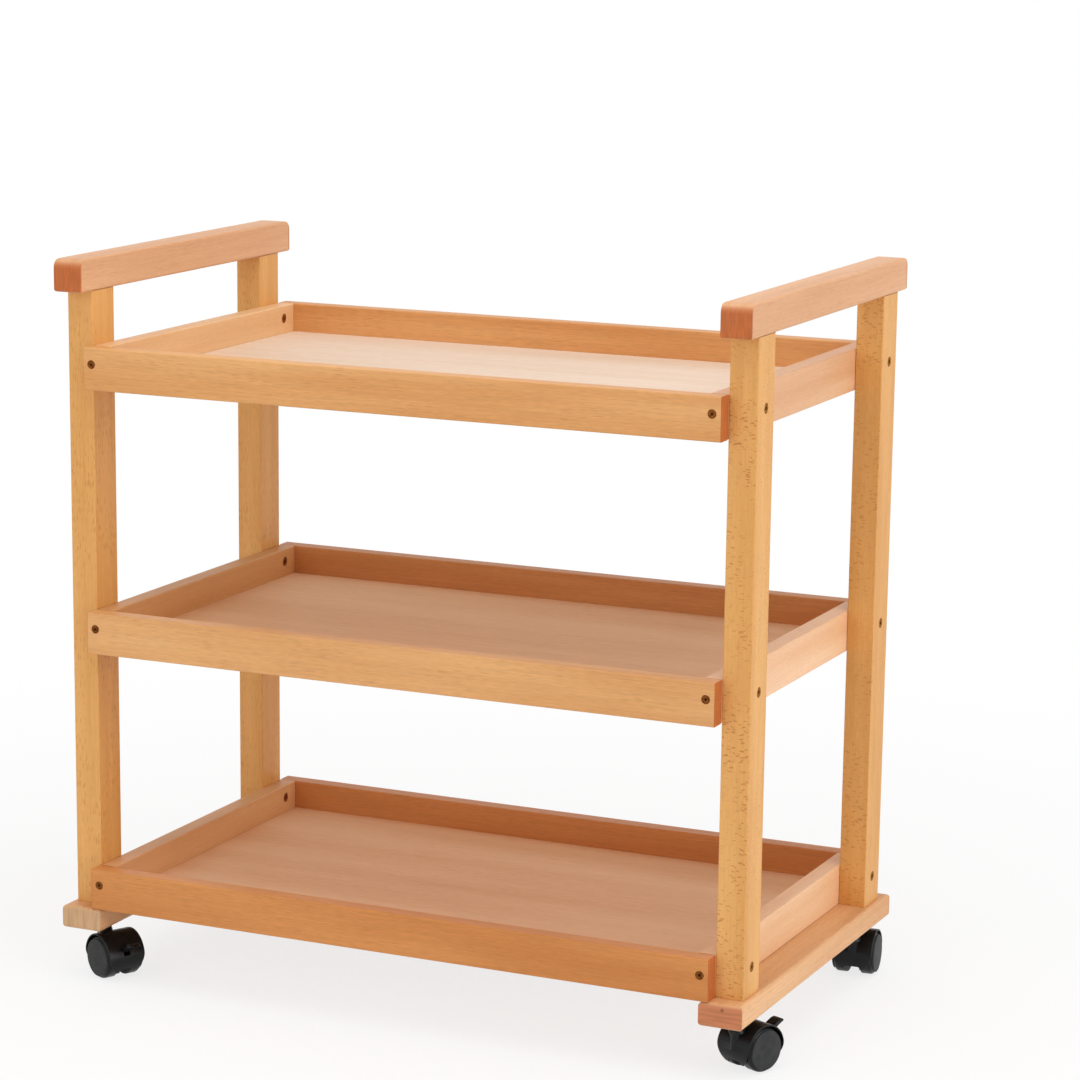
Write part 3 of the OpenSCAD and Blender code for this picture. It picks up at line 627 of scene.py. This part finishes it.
def collar_shape():
    """The turned collar round the stem, with its flare, from the axle's height up to its eased top edge."""
    outline = [(0, WHEEL_RADIUS), (COLLAR_RADIUS, WHEEL_RADIUS)]
    for radius, depth in ((COLLAR_RADIUS, 16), (COLLAR_FLARE, 12), (COLLAR_FLARE - COLLAR_TAPER, 8),
                          (COLLAR_RADIUS, 5), (COLLAR_RADIUS, COLLAR_EDGE), (COLLAR_RADIUS - COLLAR_EDGE, 0),
                          (0, 0)):
        outline.append((radius, COLLAR_TOP - depth))
    turns = [math.tau * step / ROUND_STEPS for step in range(ROUND_STEPS)]
    rings = [[(radius * math.cos(turn), radius * math.sin(turn), lift) for radius, lift in outline]
             for turn in turns]
    return skin("collar", rings, round_outline=False, round_path=True)


def arch_shape():
    """What is cut out of the cover's lower edges, front and back, between the wheels."""
    height = ARCH_HEIGHT - ARCH_ROUND
    outline = [(ARCH_HALF, 0)] + arc((ARCH_HALF - ARCH_ROUND, height), ARCH_ROUND, 0, 90, 5)
    outline += arc((ARCH_ROUND - ARCH_HALF, height), ARCH_ROUND, 90, 180, 5) + [(-ARCH_HALF, 0)]
    ends = (TRAIL - 2 * HOOD_OUTER, TRAIL + 2 * HOOD_OUTER)
    return skin("arch", [[(along, side, lift) for side, lift in outline] for along in ends])


def slot_shape(lowered):
    """The room that the brake lever's arm needs when it is lowered by an angle."""
    across, thick = LEVER_ARM / 2 + LEVER_GAP, LEVER_THICK / 2 + LEVER_GAP
    corners = [(-across, -thick), (across, -thick), (across, thick), (-across, thick)]
    rings = [[lever_point(along, side, lift, lowered) for side, lift in corners]
             for along in (-thick, HOOD_OUTER)]
    return skin("slot", rings)


def draw_in_skirt(model):
    """Narrows the cover below the axle, towards its lower edges, where it leaves the wheels' sides free."""
    for vert in model.data.vertices:
        along, side, lift = vert.co / MM
        out, up = along - TRAIL, lift - WHEEL_RADIUS
        turn = math.degrees(math.atan2(up, abs(out)))
        if math.hypot(out, up) > HOOD_INNER - HOOD_EDGE and abs(side) > ARCH_HALF:
            below = max(SKIRT_START - turn, 0) / (SKIRT_START + HOOD_DROP)
            share = (abs(side) - ARCH_HALF) / (HOOD_HALF - ARCH_HALF)
            vert.co.y -= math.copysign((HOOD_HALF - SKIRT_HALF) * below ** 2 * share * MM, side)


def hood_model(braked):
    """The moulding: cover, web and collar in one, with its bores and, if it is braked, the lever's slot."""
    model = cover_shape()
    carve(model, web_shape(), "UNION")
    axle_line = (on_axle(0, 0, -2 * HOOD_HALF), on_axle(0, 0, 2 * HOOD_HALF))
    collar = collar_shape()
    carve(collar, round_bar(WEB_RADIUS, *axle_line), "DIFFERENCE")
    carve(model, collar, "UNION")
    stem_line = ((0, 0, COLLAR_TOP - STEM_DEPTH), (0, 0, COLLAR_TOP + STEM_CUT))
    carve(model, round_bar(STEM_BORE, *stem_line), "DIFFERENCE")
    carve(model, round_bar(AXLE_BORE, *axle_line), "DIFFERENCE")
    carve(model, arch_shape(), "DIFFERENCE")
    if braked:
        for lowered in (0, LEVER_TRAVEL / 2, LEVER_TRAVEL):
            carve(model, slot_shape(lowered), "DIFFERENCE")
    draw_in_skirt(model)
    smooth(model, sharp_degrees=35)
    return model


hood_nylon = moulded_nylon("black moulded nylon", "#0c0d0e", "#131416", 0.32, 0.22)
for braked in (True, False):
    model = hood_model(braked)
    for corner in CORNERS:
        if corner.startswith("front") == braked:
            body, hood = corner + "_caster", corner + "_hood"
            set_down(model, corner + "_cover", corner, body, hood, hood_nylon)
    bpy.data.objects.remove(model)


# Caster wheels: two moulded nylon wheels to a caster, black at the tread, on the ends of one axle.
# A charcoal disc, slightly domed, is pressed on the outer side of each and stands out from the tread.
WHEEL_INNER, WHEEL_WIDTH, WHEEL_CAP, WHEEL_STEPS = 7, 14.5, 3.2, 72
TREAD_ROUND, TREAD_DROP, INNER_ROUND = 3.2, 2.6, 1
DISC_RADIUS, DISC_DOME, DISC_EDGE, DISC_STEPS = 18.6, 0.5, 0.8, 6
DISC_MARGIN = 0.05


def wheel_model(hand):
    """One wheel in a caster's own frame; hand is 1 on the left of the trail and -1 on its right."""
    face, flat = WHEEL_WIDTH - DISC_DOME, DISC_RADIUS - DISC_EDGE
    shoulder = WHEEL_WIDTH - TREAD_DROP
    outline = [(flat * step / DISC_STEPS, WHEEL_WIDTH - DISC_DOME * (step / DISC_STEPS) ** 2)
               for step in range(DISC_STEPS)]
    outline += arc((flat, face - DISC_EDGE), DISC_EDGE, 90, 0, 4)
    outline += [(DISC_RADIUS, shoulder)]
    outline += arc((WHEEL_RADIUS - TREAD_ROUND, shoulder - TREAD_ROUND), TREAD_ROUND, 70, 0, 8)
    outline += arc((WHEEL_RADIUS - INNER_ROUND, INNER_ROUND), INNER_ROUND, 0, -90, 4)
    outline += [(AXLE_BORE, 0), (AXLE_BORE, WHEEL_WIDTH - WHEEL_CAP), (0, WHEEL_WIDTH - WHEEL_CAP)]
    turns = [360 / WHEEL_STEPS * step for step in range(WHEEL_STEPS)]
    rings = [[on_axle(radius, turn, hand * (WHEEL_INNER + along)) for radius, along in outline]
             for turn in turns]
    model = skin("wheel", rings, round_outline=False, round_path=True)
    smooth(model, sharp_degrees=30)
    return model


wheel_nylon = moulded_nylon("charcoal moulded nylon", "#343536", "#3e3f3f", 0.48, 0.07)
for hand, letter in ((1, "a"), (-1, "b")):
    model = wheel_model(hand)
    for corner in CORNERS:
        wheel = f"{corner}_wheel_{letter}"
        piece = set_down(model, wheel + "_turned", corner, wheel, wheel, wheel_nylon)
        piece.data.materials.append(hood_nylon)
        hub, turn = [Vector(joints[wheel + "_spin"][key]) for key in ("pos_m", "axis")]
        for face in piece.data.polygons:
            from_axle = (face.center - hub).cross(turn).length
            face.material_index = int(from_axle > (DISC_RADIUS + DISC_MARGIN) * MM)
    bpy.data.objects.remove(model)


# Brake levers: a nylon lever in each front caster, on a pin in the web, with a broad pedal for the foot.
# Pressed down, its short end bears on the wheels.
# Each section has its place along the arm from the pin, its half width, its half thickness and its rise.
LEVER_SECTIONS = [(-2.2, 2.4, 1.2, 0), (-1.6, 2.9, 1.9, 0), (0, 3, 2.25, 0), (9.8, 3, 2.25, 0),
                  (11.2, 3.4, 2.2, 0), (12, 4.8, 2.1, 0.3), (13, 5.9, 2, 0.6), (16, 6.25, 1.9, 1.2),
                  (22.5, 6.25, 1.75, 1.5), (25.8, 6, 1.5, 1), (27, 5.4, 1.1, 0.4), (27.6, 4.4, 0.6, -0.2)]
LEVER_ROUND = 0.7
PIN_RADIUS, PIN_GAP = 1.5, 0.05


def lever_model():
    """The lever in a caster's own frame: rounded sections along the arm, widening into the pedal."""
    rings = []
    for along, half_width, half_thick, rise in LEVER_SECTIONS:
        radius = LEVER_ROUND * half_thick
        section = []
        for turn, (side, lift) in enumerate(((1, 1), (-1, 1), (-1, -1), (1, -1))):
            centre = (side * (half_width - radius), lift * (half_thick - radius))
            section += arc(centre, radius, 90 * turn, 90 * turn + 90, 4)
        rings.append([lever_point(along, side, lift + rise) for side, lift in section])
    model = skin("lever", rings)
    pin_line = [on_axle(LEVER_RADIUS, LEVER_ANGLE, side) for side in (-LEVER_ARM, LEVER_ARM)]
    carve(model, round_bar(PIN_RADIUS + PIN_GAP, *pin_line), "DIFFERENCE")
    smooth(model, sharp_degrees=40)
    return model


model = lever_model()
for corner in ("front_left", "front_right"):
    lever = corner + "_brake_lever"
    set_down(model, lever + "_pedal", corner, lever, lever, hood_nylon)
bpy.data.objects.remove(model)


# Floor, light and camera: a pale studio floor that fades to white, soft light from all round.
# The camera stands where the picture was taken from, a little above the cart and to its right.
FLOOR_HALF = 40
FADE_START, FADE_END, NEAR_GLOW = 0.5, 1.5, 0.78
WORLD_LIGHT = 0.6


def looked_at(tree):
    """1 where the background is seen, straight, mirrored or through glass, and 0 where it gives light."""
    rays = add(tree, "ShaderNodeLightPath").outputs
    straight, mirrored, through = rays["Is Camera Ray"], rays["Is Glossy Ray"], rays["Is Transmission Ray"]
    either = add(tree, "ShaderNodeMath", {0: straight, 1: mirrored}, operation="MAXIMUM").outputs[0]
    return add(tree, "ShaderNodeMath", {0: either, 1: through}, operation="MAXIMUM").outputs[0]


floor_mesh = bpy.data.meshes.new("floor")
corners = [(x * FLOOR_HALF, y * FLOOR_HALF, 0) for x, y in ((-1, -1), (1, -1), (1, 1), (-1, 1))]
floor_mesh.from_pydata(corners, [], [(0, 1, 2, 3)])
floor = bpy.data.objects.new("floor", floor_mesh)
bpy.context.scene.collection.objects.link(floor)
paper, tree, shader, place = blank_material("white paper sweep")
shader.inputs["Base Color"].default_value = linear("#f7f7f7")
shader.inputs["Roughness"].default_value = 0.9
far = add(tree, "ShaderNodeVectorMath", {0: place}, operation="LENGTH").outputs[1]
reach = {0: far, 1: FADE_START, 2: FADE_END, 3: NEAR_GLOW}
fade = add(tree, "ShaderNodeMapRange", reach, interpolation_type="SMOOTHSTEP").outputs[0]
shown = add(tree, "ShaderNodeMath", {0: fade, 1: looked_at(tree)}, operation="MULTIPLY").outputs[0]
glow = add(tree, "ShaderNodeEmission", {"Color": (1, 1, 1, 1), "Strength": 1}).outputs[0]
mixed = add(tree, "ShaderNodeMixShader", {0: shown, 1: shader.outputs[0], 2: glow}).outputs[0]
tree.links.new(mixed, tree.nodes["Material Output"].inputs["Surface"])
floor_mesh.materials.append(paper)
floor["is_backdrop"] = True

world = bpy.data.worlds.new("white studio")
bpy.context.scene.world = world
world.use_nodes = True
tree = world.node_tree
strength = add(tree, "ShaderNodeMapRange", {0: looked_at(tree), 3: WORLD_LIGHT, 4: 1}).outputs[0]
tree.links.new(strength, tree.nodes["Background"].inputs["Strength"])
tree.nodes["Background"].inputs["Color"].default_value = (1, 1, 1, 1)

LAMP_AIM = Vector((0, 0, 0.35))
for name, where, size, watts in (("top softbox", (0.3, -0.5, 2.4), 2.2, 23),
                                 ("right softbox", (5.2, -0.6, 1.3), 3, 94),
                                 ("front softbox", (-0.7, -2.9, 1.3), 1.8, 14.5)):
    lamp = bpy.data.lights.new(name, "AREA")
    lamp.shape = "DISK"
    lamp.size = size
    lamp.energy = watts
    lamp_object = bpy.data.objects.new(name, lamp)
    lamp_object.location = where
    lamp_object.rotation_euler = (LAMP_AIM - Vector(where)).to_track_quat("-Z", "Y").to_euler()
    bpy.context.scene.collection.objects.link(lamp_object)

PICTURE, SENSOR = 1080, 36
FOCAL_PIXELS, CENTRE_PIXEL = 3597.3, (482, 646)
CAMERA_PLACE = (1.4416, -3.0590, 1.0875)
azimuth, elevation, roll = math.radians(25.23), math.radians(12.63), math.radians(-0.49)
forward = Vector((-math.sin(azimuth) * math.cos(elevation), math.cos(azimuth) * math.cos(elevation),
                  -math.sin(elevation)))
level = Vector((math.cos(azimuth), math.sin(azimuth), 0))
below = forward.cross(level)
right = math.cos(roll) * level + math.sin(roll) * below
down = math.cos(roll) * below - math.sin(roll) * level
lens = bpy.data.cameras.new("camera")
lens.sensor_width = SENSOR
lens.lens = SENSOR * FOCAL_PIXELS / PICTURE
lens.shift_x = (PICTURE / 2 - CENTRE_PIXEL[0]) / PICTURE
lens.shift_y = (CENTRE_PIXEL[1] - PICTURE / 2) / PICTURE
camera = bpy.data.objects.new("camera", lens)
turned = Matrix((right, -down, -forward)).transposed().to_4x4()
camera.matrix_world = Matrix.Translation(CAMERA_PLACE) @ turned
bpy.context.scene.collection.objects.link(camera)
bpy.context.scene.camera = camera
bpy.context.scene.view_settings.view_transform = "Standard"

low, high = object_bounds()
